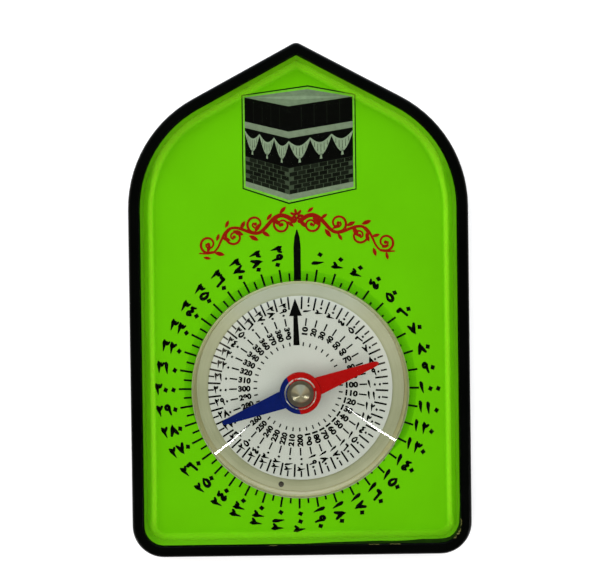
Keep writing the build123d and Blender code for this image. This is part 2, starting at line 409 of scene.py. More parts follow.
def needleEnamel(heading, split, wornRadius, wornHeight):
    # stoved satin enamel on steel, red on the pointing arm and blue on the other, worn bright on one edge
    material, tree, place = newMaterial("needleEnamel")
    moved, outward = fromAxis(tree, place)
    turned = addNode(tree, "ShaderNodeVectorRotate", {"rotation_type": "Z_AXIS"},
                     {"Vector": moved, "Angle": -heading})
    along = addNode(tree, "ShaderNodeSeparateXYZ", None, {0: turned}).outputs
    wander = addNode(tree, "ShaderNodeTexNoise", None, {"Vector": place, "Scale": perMm(0.8), "Detail": 2.0})
    ragged = enamelWear["ragged"]
    edge = addNode(tree, "ShaderNodeMath", "MULTIPLY_ADD", {0: wander, 1: ragged * mm, 2: along["X"]})
    side = addNode(tree, "ShaderNodeMapRange", None,
                   {"Value": edge, "From Min": -split * mm, "From Max": (ragged - split) * mm})
    patch, red = patches(tree, place, 1.5, 4.0, "#9c0201", "#b00605")
    blue = addNode(tree, "ShaderNodeMix", {"data_type": "RGBA"},
                   {"Factor": patch, "A": linear("#021250"), "B": linear("#031a66")})
    tone = addNode(tree, "ShaderNodeMix", {"data_type": "RGBA"}, {"Factor": side, "A": blue, "B": red})
    rubbed = 1.0
    for value, rim, limits in ((outward, wornRadius, "inward"), (along["Z"], wornHeight, "down")):
        start, end = [(rim - limit) * mm for limit in enamelWear[limits]]
        bare = addNode(tree, "ShaderNodeMapRange", None, {"Value": value, "From Min": start, "From Max": end})
        rubbed = addNode(tree, "ShaderNodeMath", "MULTIPLY", {0: bare, 1: rubbed})
    start, end = enamelWear["gaps"]
    gaps = addNode(tree, "ShaderNodeMapRange", None, {"Value": patch, "From Min": start, "From Max": end})
    rubbed = addNode(tree, "ShaderNodeMath", "MULTIPLY", {0: rubbed, 1: gaps})
    tone = addNode(tree, "ShaderNodeMix", {"data_type": "RGBA"},
                   {"Factor": rubbed, "A": tone, "B": linear("#e2e0d6")})
    surface(tree, {"Base Color": tone, "Roughness": 0.35, "Metallic": rubbed, "Specular IOR Level": 0.08})
    return material


def turnedNickel():
    # nickel plate on a turned cone, gone dull: a pale bloom, and fine rings that spread each highlight
    material, tree, place = newMaterial("turnedNickel")
    rings = turnedRings(tree, place, 0.12, 2.0)
    tone = addNode(tree, "ShaderNodeMix", {"data_type": "RGBA"},
                   {"Factor": rings, "A": linear("#bab192"), "B": linear("#dcd6bd")})
    bump = addNode(tree, "ShaderNodeBump", None, {"Height": rings, "Strength": 0.5, "Distance": 0.03 * mm})
    surface(tree, {"Base Color": tone, "Roughness": 0.3, "Normal": bump, "Metallic": 0.93})
    return material


def printedGreys():
    # grey tones of the printed picture, kept with its faces as the attribute ink
    material, tree, place = newMaterial("printedGreys")
    ink = addNode(tree, "ShaderNodeAttribute", {"attribute_name": "ink"}).outputs["Color"]
    patch = addNode(tree, "ShaderNodeTexNoise", None, {"Vector": place, "Scale": perMm(0.9), "Detail": 4.0})
    shade = addNode(tree, "ShaderNodeMapRange", None, {"Value": patch, "To Min": 0.7, "To Max": 1.25})
    tone = addNode(tree, "ShaderNodeVectorMath", "SCALE", {0: ink, "Scale": shade})
    surface(tree, {"Base Color": tone, "Roughness": 0.75, "Specular IOR Level": 0.05})
    return material


blackInk = screenInk("blackScreenInk", "#070806", "#030402")
redInk = screenInk("redScreenInk", "#a01808", "#7c1206")
print("shared inks made")


# plate outline, the same arch at any distance in from the edge
arch = {"roofSlope": 28.2, "apexRadius": 2.0, "shoulderRadius": 27.5, "cornerRadius": 7.1, "leastRadius": 0.3,
        "arcSteps": 14, "longRun": 4.0, "runParts": 10}


def archRing(inset, height):
    slope = radians(arch["roofSlope"])
    halfWidth = plateWidth / 2 - inset
    foot = inset - plateLength / 2
    tip = plateLength / 2 + arch["apexRadius"] * (1 / cos(slope) - 1) - inset / cos(slope)
    eaves = tip - halfWidth * tan(slope)
    corner = max(arch["cornerRadius"] - inset, arch["leastRadius"])
    apex = max(arch["apexRadius"] - inset, arch["leastRadius"])
    shoulder = arch["shoulderRadius"] - inset
    corners = [(-halfWidth, foot), (halfWidth, foot), (halfWidth, eaves), (0, tip), (-halfWidth, eaves)]
    ring = roundCorners(corners, [corner, corner, shoulder, apex, shoulder], arch["arcSteps"])
    # long straight runs are divided, so that a ring can meet a circle
    divided = []
    for i, point in enumerate(ring):
        last = ring[i - 1]
        parts = arch["runParts"] if (point - last).length > arch["longRun"] else 1
        divided += [last.lerp(point, (k + 1) / parts) for k in range(parts)]
    return [Vector((p.x, p.y, height)) for p in divided]


# tray: floor and rim in one moulding
tray = {"rimWidth": 2.6, "rimEdge": 1.0, "rimInner": 0.25, "footEdge": 0.6, "floor": 1.6, "underside": 12.0}
trayCorners = [(tray["underside"], 0), (0, 0), (0, trayHigh.z),
               (tray["rimWidth"], trayHigh.z), (tray["rimWidth"], tray["floor"])]
trayRadii = [0, tray["footEdge"], tray["rimEdge"], tray["rimInner"], 0]
bm = bmesh.new()
loft(bm, [archRing(inset, height) for inset, height in roundCorners(trayCorners, trayRadii)], capEnds=True)
placePiece("tray_shell", bm, mouldedBlackAbs(), "case", ["back_tray"])
print("tray made")


# window: clear plate with a broken edge and a round opening; a steep lip closes the slit under its edge
window = {"edgeRound": 0.05, "openingGap": 0.25, "lip": 0.08, "topFlat": 4.0}
lipInset = windowInset + window["lip"]
windowCorners = [(lipInset, windowLow.z), (lipInset, cardTop), (windowInset, windowLow.z),
                 (windowInset, windowHigh.z), (windowInset + window["topFlat"], windowHigh.z)]
windowRadii = [0, 0, 0, window["edgeRound"], 0]
rings = [archRing(inset, height) for inset, height in roundCorners(windowCorners, windowRadii)]
opening = capsuleRadius + window["openingGap"]
for height in (windowHigh.z, windowLow.z):
    spokes = [(p.xy - capsule).normalized() * opening + capsule for p in rings[0]]
    rings.append([Vector((p.x, p.y, height)) for p in spokes])
bm = bmesh.new()
loft(bm, rings, True)
# its frosted sides are painted lime, a painted reflection of the card, lighter towards the roof as a painted
# highlight
acrylic = clearPlastic("castAcrylic", 1.49, "#fcfefb", 0.012, 0.95, "#78c60a", "#a0ec14")
placePiece("window_pane", bm, acrylic, "case", ["clear_window"], 20)
print("window made")


# glue line under the window's edge, carrying a painted band of light that stands in for light gathered by the
# window's edge; it lies nearer the edge at the roof and the foot
glueLow, glueHigh = boxMm("window_adhesive")
glue = {"width": 2.5, "rings": 14, "slack": 0.004, "steepness": 1.5,
        "roofStart": 26.0, "roofEnd": 36.0, "footStart": -49.0, "footEnd": -52.0,
        "side": (0.62, 0.28, 1.0), "roof": (0.15, 0.6, 1.0), "foot": (0.3, 0.42, 0.4)}


def between(value, start, end):
    return min(max((value - start) / (end - start), 0), 1)


def milkyShare(point, across):
    # middle, spread and strength of the painted band of light change from the sides to the roof and the foot
    paintedGlowShade = Vector(glue["side"])
    paintedGlowShade = paintedGlowShade.lerp(Vector(glue["roof"]), between(point.y, glue["roofStart"], glue["roofEnd"]))
    paintedGlowShade = paintedGlowShade.lerp(Vector(glue["foot"]), between(point.y, glue["footStart"], glue["footEnd"]))
    middle, spread, strength = paintedGlowShade
    return strength * min(max(glue["steepness"] * (1 - abs(across - middle) / spread), 0), 1)


shares = [i / (glue["rings"] - 1) for i in range(glue["rings"])]
low, high = glueLow.z + glue["slack"], glueHigh.z - glue["slack"]
rings = [archRing(lipInset + glue["slack"] + glue["width"] * t, high) for t in shares]
rings += [archRing(lipInset + glue["slack"] + glue["width"] * t, low) for t in shares[::-1]]
bm = bmesh.new()
layer = bm.verts.layers.float_color.new("paintedGlowShade")
rows = loft(bm, rings, True)
for row, across in zip(rows, shares + shares[::-1]):
    for vert in row:
        vert[layer] = (milkyShare(vert.co, across), 0, 0, 1)
glueWithGlow = clearCement("clearCement", "#fefffd", "#aaf626", 0.38)
placePiece("glue_line", bm, glueWithGlow, "case", ["window_adhesive"])
print("glue line made")


# capsule: base with a boss, dial, plug and domed lens
lens = {"wall": 0.7, "skirtRise": 2.9, "edgeRound": 0.5, "domeSteps": 44}
skirtTop = lensLow.z + lens["skirtRise"]
domeRise = lensHigh.z - skirtTop
domeRadius = (capsuleRadius ** 2 + domeRise ** 2) / (2 * domeRise)
domeCentre = lensHigh.z - domeRadius


def domeCurve(radius, reach):
    spread = asin(reach / radius)
    turns = [spread * (1 - k / lens["domeSteps"]) for k in range(lens["domeSteps"] + 1)]
    return [(radius * sin(t), domeCentre + radius * cos(t)) for t in turns]


bore = capsuleRadius - lens["wall"]
outside = domeCurve(domeRadius, capsuleRadius)
inside = domeCurve(domeRadius - lens["wall"], bore)
lensCorners = [(bore, lensLow.z), (capsuleRadius, lensLow.z)] + outside + inside[::-1]
lensRadii = [0, 0, lens["edgeRound"]] + [0] * (len(outside) + len(inside) - 1)
bm = bmesh.new()
lathe(bm, roundCorners(lensCorners, lensRadii), capsule, 160, True)
# its upright sides are painted beige, a painted reflection of the base ring under them
styrene = clearPlastic("clearStyrene", 1.59, "#fdfefc", 0.009, 0.85, "#c6c08e", "#c6c08e")
placePiece("lens_dome", bm, styrene, "case", ["capsule_lens"])

base = {"bondGap": 0.05, "seatRise": 0.4, "bossRadius": 1.4, "pinHole": 0.52, "pinBury": 0.6,
        "edgeRound": 0.1}
seat = bore - base["bondGap"]
seatTop = lensLow.z + base["seatRise"]
pinFloor = baseLow.z + base["pinBury"]
baseCorners = [(0, baseLow.z), (capsuleRadius, baseLow.z), (capsuleRadius, lensLow.z), (seat, lensLow.z),
               (seat, seatTop), (base["bossRadius"], seatTop), (base["bossRadius"], baseHigh.z),
               (base["pinHole"], baseHigh.z), (base["pinHole"], pinFloor), (0, pinFloor)]
baseRadii = [0, base["edgeRound"], 0, 0, base["edgeRound"], 0, base["edgeRound"], 0, 0, 0]
bm = bmesh.new()
lathe(bm, roundCorners(baseCorners, baseRadii, 3), capsule)
placePiece("base_ring", bm, ivoryStyrene(), "case", ["capsule_base"])

dial = {"hole": 1.5, "edgeRound": 0.06}
dialCorners = [(dial["hole"], dialLow.z), (dialRadius, dialLow.z),
               (dialRadius, dialTop), (dial["hole"], dialTop)]
bm = bmesh.new()
lathe(bm, roundCorners(dialCorners, [0, 0, dial["edgeRound"], 0], 3), capsule, joinEnds=True)
placePiece("dial_plate", bm, coatedDialCard(), "case", ["dial_disc"])

plug = {"edgeRound": 0.12}
plugRadius = (plugHigh.x - plugLow.x) / 2
plugCorners = [(0, plugLow.z), (plugRadius, plugLow.z), (plugRadius, plugHigh.z), (0, plugHigh.z)]
bm = bmesh.new()
lathe(bm, roundCorners(plugCorners, [0, 0, plug["edgeRound"], 0], 4), (plugLow.xy + plugHigh.xy) / 2, 32)
rubber = plainFinish("darkRubber", "#12110b", "#070705", 0.6, 0.6)
placePiece("plug_head", bm, rubber, "case", ["vent_plug"])
print("capsule made")


# needle: two tapered arms, a raised hub and a collar, pressed from one sheet
needle = {"bearing": 69.5, "length": 35.4, "thickness": 0.4, "rootWidth": 3.7, "tipWidth": 1.2,
          "tipShape": ((0, 0), (0.12, 0.4), (0.5, 0.8), (1.3, 1)),  # way in from the tip, share of its width
          "hubRadius": 4.4, "hubRise": 0.4, "hubEdge": 0.25, "collarInner": 2.87, "collarOuter": 3.37,
          "collarSlope": 0.34, "collarRoot": 0.04, "collarEdge": 0.08, "hubHole": 1.92,
          "armEdge": 0.06, "colourSplit": 1.44}
heading = radians(90 - needle["bearing"])
bladeTop = bladeLow.z + needle["thickness"]
hubTop = bladeTop + needle["hubRise"]
reach = needle["length"] / 2
halfRoot = needle["rootWidth"] / 2
backTip = [(x - reach, y * needle["tipWidth"] / 2) for x, y in needle["tipShape"]]
roots = [(-needle["hubRadius"], halfRoot), (needle["hubRadius"], halfRoot)]
upperEdge = backTip + roots + [(-x, y) for x, y in backTip[::-1]]
outline = upperEdge + [(x, -y) for x, y in upperEdge[-2:0:-1]]
turned = Matrix.Translation((capsule.x, capsule.y, 0)) @ Matrix.Rotation(heading, 4, "Z")
bm = bmesh.new()
loft(bm, [[turned @ Vector((x, y, z)) for x, y in outline] for z in (bladeLow.z, bladeTop)], capEnds=True)
bmesh.ops.recalc_face_normals(bm, faces=bm.faces[:])
rims = [e for e in bm.edges if abs(e.verts[0].co.z - e.verts[1].co.z) < tiny]
bmesh.ops.bevel(bm, geom=rims, offset=needle["armEdge"], segments=2, affect="EDGES", profile=0.5)
armsMesh = finishMesh("needle_arms", bm, 20)

slopeFoot = bladeHigh.z - needle["collarSlope"]
slopeTop = needle["collarOuter"] - needle["collarSlope"]
hubCorners = [(needle["hubHole"], bladeLow.z), (needle["hubRadius"], bladeLow.z),
              (needle["hubRadius"], hubTop), (needle["collarOuter"], hubTop),
              (needle["collarOuter"], slopeFoot), (slopeTop, bladeHigh.z),
              (needle["collarInner"], bladeHigh.z), (needle["collarInner"], hubTop),
              (needle["hubHole"], hubTop)]
hubRadii = [0, 0, needle["hubEdge"], needle["collarRoot"], needle["collarEdge"], needle["collarEdge"],
            needle["collarRoot"], 0, 0]
bm = bmesh.new()
lathe(bm, roundCorners(hubCorners, hubRadii, 5), capsule, 96, True)
hubMesh = finishMesh("needle_hub", bm, 34)

# the arms and the hub become one skin
arms = bpy.data.objects.new("needle_arms", armsMesh)
hub = bpy.data.objects.new("needle_hub", hubMesh)
scene.collection.objects.link(arms)
scene.collection.objects.link(hub)
union = hub.modifiers.new("union", "BOOLEAN")
union.operation = "UNION"
union.solver = "EXACT"
union.object = arms
needleMesh = evaluatedMesh(hub)
needleMesh.set_sharp_from_angle(angle=radians(20))
bpy.data.objects.remove(hub)
bpy.data.objects.remove(arms)
enamel = needleEnamel(heading, needle["colourSplit"], needle["collarOuter"], bladeHigh.z)
placePiece("needle_arrow", needleMesh, enamel, "needle", ["needle_blade"])

cap = {"flange": 2.85, "flangeRise": 0.3, "cone": 2.0, "coneRoot": 0.12, "barrel": 1.9, "pocket": 0.92,
       "edgeRound": 0.1, "tip": 0.12}
flangeTop = hubTop + cap["flangeRise"]
tipDrop = (capHigh.z - flangeTop) * cap["tip"] / cap["cone"]
capCorners = [(cap["pocket"], capLow.z), (cap["barrel"], capLow.z), (cap["barrel"], hubTop),
              (cap["flange"], hubTop), (cap["flange"], flangeTop), (cap["cone"], flangeTop),
              (cap["tip"], capHigh.z - tipDrop), (0, capHigh.z)]
capRadii = [0, 0, 0, 0, cap["edgeRound"], cap["coneRoot"], 0, 0]
capProfile = roundCorners(capCorners, capRadii, 5)
pocketTop = boxMm("pivot_jewel")[1].z
bm = bmesh.new()
lathe(bm, capProfile + [(0, pocketTop), (cap["pocket"], pocketTop)], capsule, 64, True)
nickel = turnedNickel()
placePiece("needle_cap", bm, nickel, "needle", ["jewel_cap"])
print("needle made")


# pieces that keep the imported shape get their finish
def dressNode(node, material):
    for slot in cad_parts[node].material_slots:
        slot.material = material


dressNode("printed_card", limeInkOnCard())
dressNode("capsule_tape", plainFinish("foamTape", "#dcdcd2", "#cfcfc4", 0.8, 0.9))
dressNode("pivot_pin", plainFinish("groundSteel", "#b0b0ae", "#8c8c8a", 0.3, 0.25, 1.0))
dressNode("pivot_jewel", plainFinish("rubyGlass", "#98202e", "#741420", 0.5, 0.1))
print("packed pieces dressed")


# ink: thin closed films on the card and the dial
film = 0.02
roundEnd = (0.6, 1.1, 1.45)  # angles of the points on a stroke's round end
leastStroke = 0.02


def inkPolygon(bm, points, place, height=film):
    low = [bm.verts.new(place @ Vector((x, y, 0))) for x, y in points]
    high = [bm.verts.new(place @ Vector((x, y, height))) for x, y in points]
    faces = [bm.faces.new(low[::-1]), bm.faces.new(high)]
    for i in range(len(points)):
        j = (i + 1) % len(points)
        faces.append(bm.faces.new((low[i], low[j], high[j], high[i])))
    return faces


def brushStroke(bm, points, place, weight=1.0, parts=3, height=film):
    # a ribbon of varying width through (x, y, width) points, with round ends
    knots = [Vector(p) for p in points]
    knots = [2 * knots[0] - knots[1]] + knots + [2 * knots[-1] - knots[-2]]
    spine = []
    for a, b, c, d in zip(knots, knots[1:], knots[2:], knots[3:]):
        for k in range(parts):
            t = k / parts
            spine.append(0.5 * (2 * b + (c - a) * t + (2 * a - 5 * b + 4 * c - d) * t * t
                                + (3 * b - a - 3 * c + d) * t * t * t))
    spine.append(knots[-2])
    stations = []
    for i, s in enumerate(spine):
        ahead = (spine[min(i + 1, len(spine) - 1)] - spine[max(i - 1, 0)]).xy.normalized()
        stations.append((s.xy, ahead, max(s.z, leastStroke) * weight / 2))
    centre, ahead, half = stations[0]
    start = [(centre - ahead * half * sin(a), ahead, half * cos(a)) for a in roundEnd[::-1]]
    centre, ahead, half = stations[-1]
    end = [(centre + ahead * half * sin(a), ahead, half * cos(a)) for a in roundEnd]
    stations = start + stations + end
    rings = []
    for centre, ahead, half in stations:
        side = Vector((-ahead.y, ahead.x)) * half
        corners = [(centre + side, 0), (centre - side, 0), (centre - side, height), (centre + side, height)]
        rings.append([place @ Vector((p.x, p.y, z)) for p, z in corners])
    loft(bm, rings, capEnds=True)


# eastern figures, one unit high, as (x, y, width) brush points
stem = [(0.14, 1.0, 0.14), (0.22, 0.82, 0.30), (0.29, 0.5, 0.22), (0.38, 0.0, 0.06)]
figures = {
    "1": [[(0.12, 0.98, 0.2), (0.19, 0.84, 0.28), (0.26, 0.5, 0.22), (0.42, 0.02, 0.07)]],
    "2": [stem, [(0.2, 0.76, 0.26), (0.42, 0.7, 0.24), (0.64, 0.9, 0.18)]],
    "3": [stem, [(0.2, 0.78, 0.26), (0.38, 0.72, 0.2), (0.46, 0.92, 0.14)],
          [(0.38, 0.74, 0.2), (0.58, 0.72, 0.2), (0.72, 0.94, 0.16)]],
    "4": [[(0.66, 0.98, 0.12), (0.3, 0.8, 0.26)], [(0.28, 0.78, 0.2), (0.56, 0.58, 0.22)],
          [(0.54, 0.56, 0.22), (0.24, 0.26, 0.3), (0.32, 0.12, 0.32), (0.6, 0.16, 0.18)]],
    "5": [[(0.5, 0.92, 0.14), (0.7, 0.52, 0.24), (0.58, 0.14, 0.24), (0.3, 0.1, 0.24), (0.16, 0.36, 0.22),
           (0.3, 0.68, 0.18), (0.52, 0.92, 0.12)]],
    "6": [[(0.1, 0.82, 0.26), (0.42, 0.85, 0.26)], [(0.42, 0.86, 0.26), (0.52, 0.5, 0.2), (0.64, 0.04, 0.2)]],
    "7": [[(0.1, 0.95, 0.16), (0.3, 0.58, 0.28), (0.4, 0.32, 0.3), (0.46, 0.0, 0.06)],
          [(0.76, 0.95, 0.2), (0.56, 0.58, 0.26), (0.44, 0.3, 0.2)]],
    "8": [[(0.48, 1.0, 0.06), (0.4, 0.7, 0.28), (0.3, 0.42, 0.3), (0.08, 0.03, 0.18)],
          [(0.42, 0.74, 0.2), (0.56, 0.42, 0.28), (0.78, 0.05, 0.2)]],
    "9": [[(0.56, 0.72, 0.2), (0.42, 0.92, 0.22), (0.2, 0.82, 0.22), (0.22, 0.58, 0.22), (0.46, 0.54, 0.2),
           (0.56, 0.72, 0.2)], [(0.56, 0.78, 0.22), (0.56, 0.4, 0.2), (0.66, 0.02, 0.14)]],
}
# nought is a diamond made by one press of the pen
noughtMiddle = Vector((0.33, 0.42))
noughtCorners = [Vector((cos(radians(a)), sin(radians(a)))) for a in (20, 110, 200, 290)]


def bearingMatrix(centre, bearing, height):
    # +X runs out along the bearing, which counts clockwise from the top
    return Matrix.Translation((centre.x, centre.y, height)) @ Matrix.Rotation(radians(90 - bearing), 4, "Z")


def scaleNumbers(scale):
    # each number with its bearing, and whether it reads inward as on the left half
    step = 360 / scale["turn"]
    return [(n, n * step + scale["lean"], n >= scale["turn"] / 2) for n in range(10, scale["turn"], 10)]


def numberPlace(scale, centre, number, bearing, inward, middle, pitch, height):
    # where a number's first figure starts; a short number may stand further out
    out = middle + (scale["shortShift"] if number < 100 else 0)
    start = pitch * len(str(number)) / 2
    place = bearingMatrix(centre, bearing, height) @ Matrix.Translation((out, 0, 0))
    if inward:
        place = place @ Matrix.Rotation(pi, 4, "Z")
    return place @ Matrix.Translation((-start, 0, 0))


def easternNumbers(bm, scale, centre, height):
    size, pitch = scale["figureHeight"], scale["figurePitch"]
    for number, bearing, inward in scaleNumbers(scale):
        text = str(number)
        place = numberPlace(scale, centre, number, bearing, inward, scale["figureMiddle"], pitch, height)
        for i, digit in enumerate(text):
            shift = Matrix.Translation((i * pitch, -size / 2, 0))
            shape = Matrix.Diagonal((scale["figureWidth"], size, 1, 1))
            if digit == "0":
                diamond = [noughtMiddle + corner * scale["nought"] for corner in noughtCorners]
                inkPolygon(bm, diamond, place @ shift @ shape)
            for stroke in figures.get(digit, []):
                brushStroke(bm, stroke, place @ shift @ shape, scale["figureWeight"])


def westernNumbers(bm, scale, centre, height):
    for number, bearing, inward in scaleNumbers(scale):
        curve = bpy.data.curves.new("western", "FONT")
        curve.body = str(number)
        curve.resolution_u = 3
        curve.offset = scale["westernBold"]
        curve.extrude = film / 2
        holder = bpy.data.objects.new("western", curve)
        scene.collection.objects.link(holder)
        mesh = evaluatedMesh(holder)
        bpy.data.objects.remove(holder)
        xs = [v.co.x for v in mesh.vertices]
        ys = [v.co.y for v in mesh.vertices]
        size = scale["westernHeight"] / (max(ys) - min(ys))
        wide = scale["westernPitch"] * len(str(number)) / (max(xs) - min(xs))
        place = numberPlace(scale, centre, number, bearing, inward, scale["westernMiddle"],
                            scale["westernPitch"], height + film / 2)
        middle = Matrix.Translation((-min(xs), -(max(ys) + min(ys)) / 2, 0))
        mesh.transform(place @ Matrix.Diagonal((wide, size, 1, 1)) @ middle)
        bm.from_mesh(mesh)


# ring of radial ticks, clockwise from the top
tickTree, given = newTree("tickRing", {
    "Count": "Int", "Skip": "Int", "Shift": "Float", "Lean": "Float", "Inner Radius": "Float",
    "Outer Radius": "Float", "Right Loss": "Float", "Width": "Float", "Height": "Float", "Centre": "Vector",
    "Material": "Material"})
index = addNode(tickTree, "GeometryNodeInputIndex")
shifted = addNode(tickTree, "ShaderNodeMath", "ADD", {0: index, 1: given["Shift"]})
share = addNode(tickTree, "ShaderNodeMath", "DIVIDE", {0: shifted, 1: given["Count"]})
turn = addNode(tickTree, "ShaderNodeMath", "MULTIPLY_ADD", {0: share, 1: 2 * pi, 2: given["Lean"]})
across = addNode(tickTree, "ShaderNodeMath", "SINE", {0: turn})
up = addNode(tickTree, "ShaderNodeMath", "COSINE", {0: turn})
direction = addNode(tickTree, "ShaderNodeCombineXYZ", None, {"X": across, "Y": up})
# ticks on the right half may be shorter, most so in its middle
rightward = addNode(tickTree, "ShaderNodeMath", "MAXIMUM", {0: across, 1: 0.0})
shorter = addNode(tickTree, "ShaderNodeMath", "MULTIPLY", {0: rightward, 1: given["Right Loss"]})
outer = addNode(tickTree, "ShaderNodeMath", "SUBTRACT", {0: given["Outer Radius"], 1: shorter})
ends = addNode(tickTree, "ShaderNodeMath", "ADD", {0: given["Inner Radius"], 1: outer})
middle = addNode(tickTree, "ShaderNodeMath", "MULTIPLY", {0: ends, 1: 0.5})
spot = addNode(tickTree, "ShaderNodeVectorMath", "SCALE", {0: direction, "Scale": middle})
spot = addNode(tickTree, "ShaderNodeVectorMath", "ADD", {0: spot, 1: given["Centre"]})
points = addNode(tickTree, "GeometryNodePoints", None, {"Count": given["Count"], "Position": spot})
long = addNode(tickTree, "ShaderNodeMath", "SUBTRACT", {0: outer, 1: given["Inner Radius"]})
stretch = addNode(tickTree, "ShaderNodeCombineXYZ", None, {"X": 1.0, "Y": long, "Z": 1.0})
size = addNode(tickTree, "ShaderNodeCombineXYZ", None, {"X": given["Width"], "Y": 1.0, "Z": given["Height"]})
bar = addNode(tickTree, "GeometryNodeMeshCube", None, {"Size": size})
backTurn = addNode(tickTree, "ShaderNodeMath", "MULTIPLY", {0: turn, 1: -1.0})
facing = addNode(tickTree, "ShaderNodeCombineXYZ", None, {"Z": backTurn})
kept = addNode(tickTree, "FunctionNodeCompare", {"data_type": "INT", "operation": "GREATER_EQUAL"},
               {"A": index, "B": given["Skip"]})
ticks = addNode(tickTree, "GeometryNodeInstanceOnPoints", None,
                {"Points": points, "Selection": kept, "Instance": bar, "Rotation": facing, "Scale": stretch})
real = addNode(tickTree, "GeometryNodeRealizeInstances", None, {"Geometry": ticks})
inked = addNode(tickTree, "GeometryNodeSetMaterial", None, {"Geometry": real, "Material": given["Material"]})
addNode(tickTree, "NodeGroupOutput", None, {0: inked})


def tickRing(bm, scale, ring, centre, height):
    values = {"Count": scale["turn"] // 10, "Skip": ring["skip"], "Shift": ring["shift"],
              "Lean": radians(scale["lean"]), "Inner Radius": ring["inner"], "Outer Radius": ring["outer"],
              "Right Loss": ring.get("rightLoss", 0.0), "Width": ring["width"], "Height": film,
              "Centre": (centre.x, centre.y, height + film / 2), "Material": blackInk}
    bm.from_mesh(growMesh(tickTree, values))


# card scale: 400 to the turn, with a pointer at the top, printed a little off the capsule's centre
cardScale = {"turn": 400, "lean": 0.4, "offset": (-0.35, -0.3), "figureHeight": 2.35, "figureWidth": 2.1,
             "figurePitch": 1.76, "figureMiddle": 29.75, "shortShift": 0.0, "figureWeight": 1.45,
             "nought": 0.29, "pointerFoot": 22.6, "pointerTip": 35.7, "pointerWidth": 1.6,
             "pointerTaper": 3.8, "pointerBend": 0.45, "pointerBelly": 0.74, "pointerBlunt": 0.1,
             "rings": [{"inner": 22.6, "outer": 27.0, "width": 0.46, "skip": 1, "shift": 0.0},
                       {"inner": 22.6, "outer": 25.95, "width": 0.42, "skip": 0, "shift": 0.5,
                        "rightLoss": 1.0}]}
printCentre = capsule + Vector(cardScale["offset"])
bm = bmesh.new()
for ring in cardScale["rings"]:
    tickRing(bm, cardScale, ring, printCentre, cardTop)
easternNumbers(bm, cardScale, printCentre, cardTop)
halfPointer = cardScale["pointerWidth"] / 2
pointerNeck = cardScale["pointerTip"] - cardScale["pointerTaper"]
pointerBend = cardScale["pointerTip"] - cardScale["pointerTaper"] * cardScale["pointerBend"]
rightEdge = [(cardScale["pointerFoot"], -halfPointer), (pointerNeck, -halfPointer),
             (pointerBend, -halfPointer * cardScale["pointerBelly"]),
             (cardScale["pointerTip"], -cardScale["pointerBlunt"])]
pointer = rightEdge + [(x, -y) for x, y in rightEdge[::-1]]
inkPolygon(bm, pointer, bearingMatrix(printCentre, 0, cardTop))
placePiece("card_scale", bm, blackInk, "case")
print("card scale printed")

# dial scale: the same count twice over, eastern figures outside and western inside, and an arrow at the top
dialScale = {"turn": 400, "lean": -1.4, "offset": (-0.5, 0.25), "figureHeight": 1.6, "figureWidth": 1.4,
             "figurePitch": 1.12, "figureMiddle": 17.1, "shortShift": 0.55, "figureWeight": 1.2,
             "nought": 0.22, "westernHeight": 1.36, "westernPitch": 0.92, "westernMiddle": 11.95,
             "westernBold": 0.06, "arrowTip": 19.6, "arrowNeck": 15.7, "arrowHead": 2.85, "arrowShaft": 0.95,
             "arrowTail": 9.2, "arrowFoot": 1.4,
             "rings": [{"inner": 17.2, "outer": 20.0, "width": 0.4, "skip": 0, "shift": 0.5},
                       {"inner": 18.7, "outer": 20.0, "width": 0.36, "skip": 1, "shift": 0.0},
                       {"inner": 13.6, "outer": 15.3, "width": 0.34, "skip": 1, "shift": 0.0},
                       {"inner": 9.1, "outer": 9.95, "width": 0.3, "skip": 1, "shift": 0.0}]}
dialCentre = capsule + Vector(dialScale["offset"])
bm = bmesh.new()
for ring in dialScale["rings"]:
    tickRing(bm, dialScale, ring, dialCentre, dialTop)
easternNumbers(bm, dialScale, dialCentre, dialTop)
westernNumbers(bm, dialScale, dialCentre, dialTop)
halfHead, halfShaft = dialScale["arrowHead"] / 2, dialScale["arrowShaft"] / 2
neck = dialScale["arrowNeck"]
halfFoot = dialScale["arrowFoot"] / 2
arrow = [(dialScale["arrowTail"], halfFoot), (dialScale["arrowTail"], -halfFoot), (neck, -halfShaft),
         (neck, -halfHead), (dialScale["arrowTip"], 0), (neck, halfHead), (neck, halfShaft)]
inkPolygon(bm, arrow, bearingMatrix(dialCentre, dialScale["lean"], dialTop))
placePiece("dial_scale", bm, blackInk, "case")
print("dial scale printed")


# courses of stone blocks on one wall of the picture, laid in a unit square and then fitted to its corners
courseTree, given = newTree("blockCourses", {
    "Columns": "Int", "Rows": "Int", "Gap": "Float", "Height": "Float", "Left Foot": "Vector",
    "Right Foot": "Vector", "Left Top": "Vector", "Right Top": "Vector", "Dark": "Color", "Light": "Color",
    "Material": "Material"})
index = addNode(courseTree, "GeometryNodeInputIndex")
number = addNode(courseTree, "ShaderNodeMath", "MULTIPLY", {0: given["Columns"], 1: given["Rows"]})
row = addNode(courseTree, "ShaderNodeMath", "DIVIDE", {0: index, 1: given["Columns"]})
row = addNode(courseTree, "ShaderNodeMath", "FLOOR", {0: row})
column = addNode(courseTree, "ShaderNodeMath", "MODULO", {0: index, 1: given["Columns"]})
odd = addNode(courseTree, "ShaderNodeMath", "MODULO", {0: row, 1: 2.0})
stagger = addNode(courseTree, "ShaderNodeMath", "MULTIPLY_ADD", {0: odd, 1: 0.5, 2: 0.5})
column = addNode(courseTree, "ShaderNodeMath", "ADD", {0: column, 1: stagger})
wide = addNode(courseTree, "ShaderNodeMath", "ADD", {0: given["Columns"], 1: 0.5})
across = addNode(courseTree, "ShaderNodeMath", "DIVIDE", {0: column, 1: wide})
row = addNode(courseTree, "ShaderNodeMath", "ADD", {0: row, 1: 0.5})
